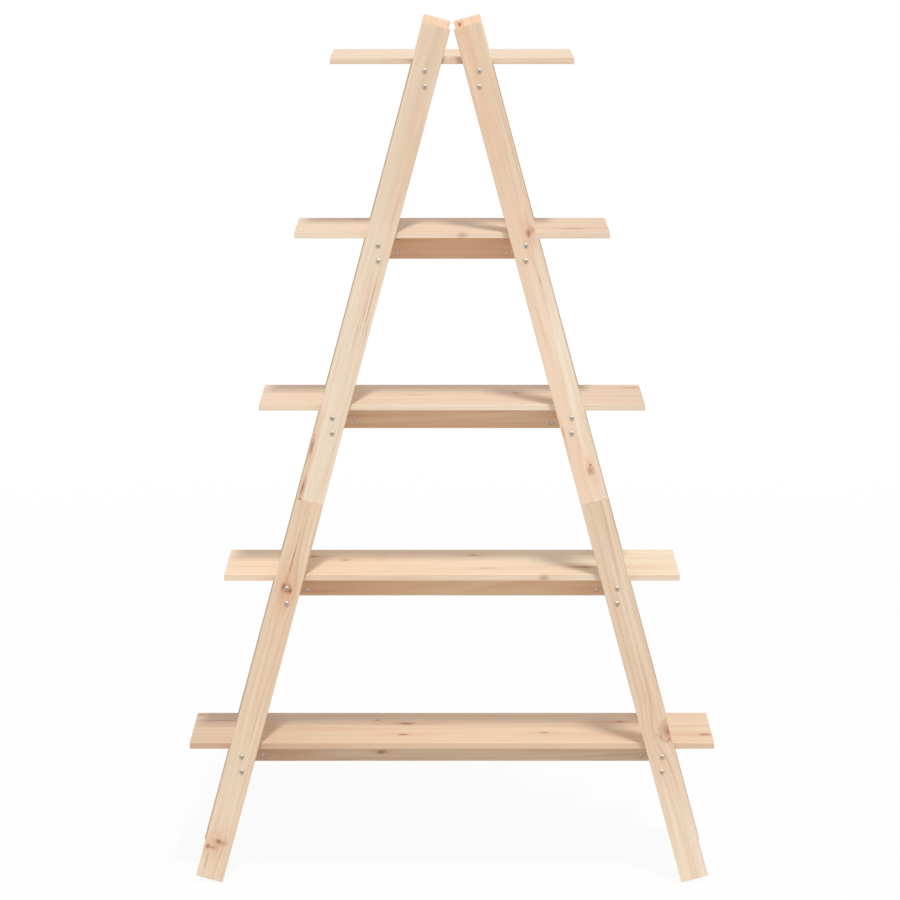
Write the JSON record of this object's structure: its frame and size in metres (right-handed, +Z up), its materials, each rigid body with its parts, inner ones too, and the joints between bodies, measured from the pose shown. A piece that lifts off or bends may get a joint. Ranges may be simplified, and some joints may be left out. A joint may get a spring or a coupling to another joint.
{
  "type": "a-frame shelf",
  "caption": "Free-standing A-frame shelf of pine slats: leaning front and rear legs carry boards that widen downwards, on rails joined with bolts and barrel nuts.",
  "frame": {"origin": "on the floor, under the middle of the shelf", "axes": "+Z up, +X to the right along the boards, -Y to the front that the picture shows"},
  "size_m": [1.099, 0.3466, 1.8],
  "materials": {
    "leg_pine": "planed, unvarnished",
    "board_pine": "planed, unvarnished",
    "rail_pine": "planed, unvarnished",
    "dowel_beech": "turned",
    "bolt_zinc": "zinc plated",
    "barrel_nut_zinc": "zinc plated",
    "joining_plate_steel": "zinc plated",
    "screw_zinc": "zinc plated"
  },
  "bodies": {
    "root": {"front_left_upper_leg": "leg_pine", "front_left_lower_leg": "leg_pine", "front_left_joining_plate": "joining_plate_steel", "front_right_upper_leg": "leg_pine", "front_right_lower_leg": "leg_pine", "front_right_joining_plate": "joining_plate_steel", "rear_left_upper_leg": "leg_pine", "rear_left_lower_leg": "leg_pine", "rear_left_joining_plate": "joining_plate_steel", "rear_right_upper_leg": "leg_pine", "rear_right_lower_leg": "leg_pine", "rear_right_joining_plate": "joining_plate_steel", "top_shelf": "board_pine", "top_left_cleat": "rail_pine", "top_right_cleat": "rail_pine", "second_shelf": "board_pine", "second_left_cleat": "rail_pine", "second_right_cleat": "rail_pine", "third_shelf": "board_pine", "third_left_cleat": "rail_pine", "third_right_cleat": "rail_pine", "fourth_shelf": "board_pine", "fourth_left_cleat": "rail_pine", "fourth_right_cleat": "rail_pine", "bottom_shelf": "board_pine", "bottom_left_cleat": "rail_pine", "bottom_right_cleat": "rail_pine", "second_stretcher": "rail_pine", "third_stretcher": "rail_pine", "fourth_stretcher": "rail_pine", "bottom_stretcher": "rail_pine", "leg_bolts": "bolt_zinc", "stretcher_bolts": "bolt_zinc", "leg_barrel_nuts": "barrel_nut_zinc", "stretcher_barrel_nuts": "barrel_nut_zinc", "leg_dowels": "dowel_beech", "shelf_dowels": "dowel_beech", "joining_plate_screws": "screw_zinc"}
  },
  "joints": []
}
